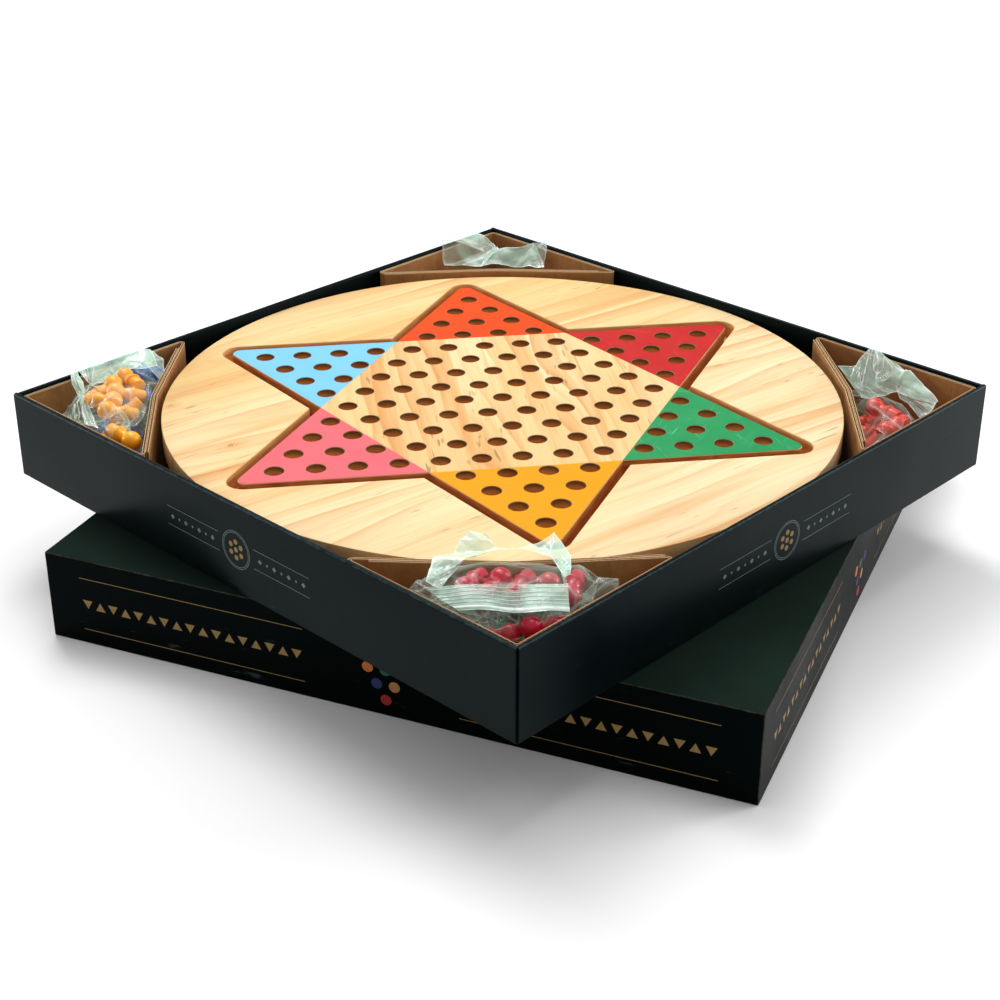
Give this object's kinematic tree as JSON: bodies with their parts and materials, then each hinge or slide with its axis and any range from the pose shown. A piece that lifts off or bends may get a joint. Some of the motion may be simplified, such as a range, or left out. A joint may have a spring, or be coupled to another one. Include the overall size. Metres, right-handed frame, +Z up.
{
  "type": "chinese checkers board",
  "caption": "Round wooden star-halma board with peg holes, boxed in a square card tray with corner compartments, bags of pegs and the lid underneath.",
  "frame": {"origin": "centre of the lid's footprint, on the table", "axes": "+Z up; X and Y run along the tray's walls, +X and -Y towards the tray's nearest corner in the usual view"},
  "size_m": [0.5178, 0.5178, 0.1103],
  "materials": {
    "lid_card": "satin laminate",
    "tray_card": "satin laminate",
    "kraft_card": "matt",
    "disc_pine": "clear satin",
    "star_pine": "clear satin",
    "bag_film": "glossy clear film",
    "paint_green": "satin paint",
    "paint_crimson": "satin paint",
    "paint_orange": "satin paint",
    "paint_blue": "satin paint",
    "paint_pink": "satin paint",
    "paint_amber": "satin paint",
    "peg_green": "gloss",
    "peg_crimson": "gloss",
    "peg_orange": "gloss",
    "peg_blue": "gloss",
    "peg_pink": "gloss",
    "peg_amber": "gloss"
  },
  "bodies": {
    "lid": {"lid_shell": "lid_card"},
    "tray": {"tray_shell": "tray_card", "support_strip_x": "kraft_card", "support_strip_y": "kraft_card"},
    "board": {"board_disc": "disc_pine", "board_star": "star_pine", "field_green": "paint_green", "field_crimson": "paint_crimson", "field_orange": "paint_orange", "field_blue": "paint_blue", "field_pink": "paint_pink", "field_amber": "paint_amber"},
    "insert_left": {"corner_insert_left": "kraft_card"},
    "insert_front": {"corner_insert_front": "kraft_card"},
    "insert_right": {"corner_insert_right": "kraft_card"},
    "insert_back": {"corner_insert_back": "kraft_card"},
    "bag_blue": {"bag_blue": "bag_film", "peg_blue_1": "peg_blue", "peg_blue_2": "peg_blue", "peg_blue_3": "peg_blue", "peg_blue_4": "peg_blue", "peg_blue_5": "peg_blue", "peg_blue_6": "peg_blue"},
    "bag_amber": {"bag_amber": "bag_film", "peg_amber_1": "peg_amber", "peg_amber_2": "peg_amber", "peg_amber_3": "peg_amber", "peg_amber_4": "peg_amber", "peg_amber_5": "peg_amber", "peg_amber_6": "peg_amber"},
    "bag_green": {"bag_green": "bag_film", "peg_green_1": "peg_green", "peg_green_2": "peg_green", "peg_green_3": "peg_green", "peg_green_4": "peg_green", "peg_green_5": "peg_green", "peg_green_6": "peg_green"},
    "bag_pink": {"bag_pink": "bag_film", "peg_pink_1": "peg_pink", "peg_pink_2": "peg_pink", "peg_pink_3": "peg_pink", "peg_pink_4": "peg_pink", "peg_pink_5": "peg_pink", "peg_pink_6": "peg_pink"},
    "bag_crimson": {"bag_crimson": "bag_film", "peg_crimson_1": "peg_crimson", "peg_crimson_2": "peg_crimson", "peg_crimson_3": "peg_crimson", "peg_crimson_4": "peg_crimson", "peg_crimson_5": "peg_crimson", "peg_crimson_6": "peg_crimson"},
    "bag_orange": {"bag_orange": "bag_film", "peg_orange_1": "peg_orange", "peg_orange_2": "peg_orange", "peg_orange_3": "peg_orange", "peg_orange_4": "peg_orange", "peg_orange_5": "peg_orange", "peg_orange_6": "peg_orange"}
  },
  "joints": [
    {"name": "tray_lift", "type": "slide", "parent": "lid", "child": "tray", "axis": [0, 0, 1], "range_m": [0, 0.12]},
    {"name": "board_lift", "type": "slide", "parent": "tray", "child": "board", "axis": [0, 0, 1], "range_m": [0, 0.1]},
    {"name": "insert_left_lift", "type": "slide", "parent": "tray", "child": "insert_left", "axis": [0, 0, 1], "range_m": [0, 0.1]},
    {"name": "insert_front_lift", "type": "slide", "parent": "tray", "child": "insert_front", "axis": [0, 0, 1], "range_m": [0, 0.1]},
    {"name": "insert_right_lift", "type": "slide", "parent": "tray", "child": "insert_right", "axis": [0, 0, 1], "range_m": [0, 0.1]},
    {"name": "insert_back_lift", "type": "slide", "parent": "tray", "child": "insert_back", "axis": [0, 0, 1], "range_m": [0, 0.1]},
    {"name": "bag_blue_lift", "type": "slide", "parent": "tray", "child": "bag_blue", "axis": [0, 0, 1], "range_m": [0, 0.1]},
    {"name": "bag_amber_lift", "type": "slide", "parent": "bag_blue", "child": "bag_amber", "axis": [0, 0, 1], "range_m": [0, 0.1]},
    {"name": "bag_green_lift", "type": "slide", "parent": "tray", "child": "bag_green", "axis": [0, 0, 1], "range_m": [0, 0.1]},
    {"name": "bag_pink_lift", "type": "slide", "parent": "bag_green", "child": "bag_pink", "axis": [0, 0, 1], "range_m": [0, 0.1]},
    {"name": "bag_crimson_lift", "type": "slide", "parent": "tray", "child": "bag_crimson", "axis": [0, 0, 1], "range_m": [0, 0.1]},
    {"name": "bag_orange_lift", "type": "slide", "parent": "tray", "child": "bag_orange", "axis": [0, 0, 1], "range_m": [0, 0.1]}
  ]
}
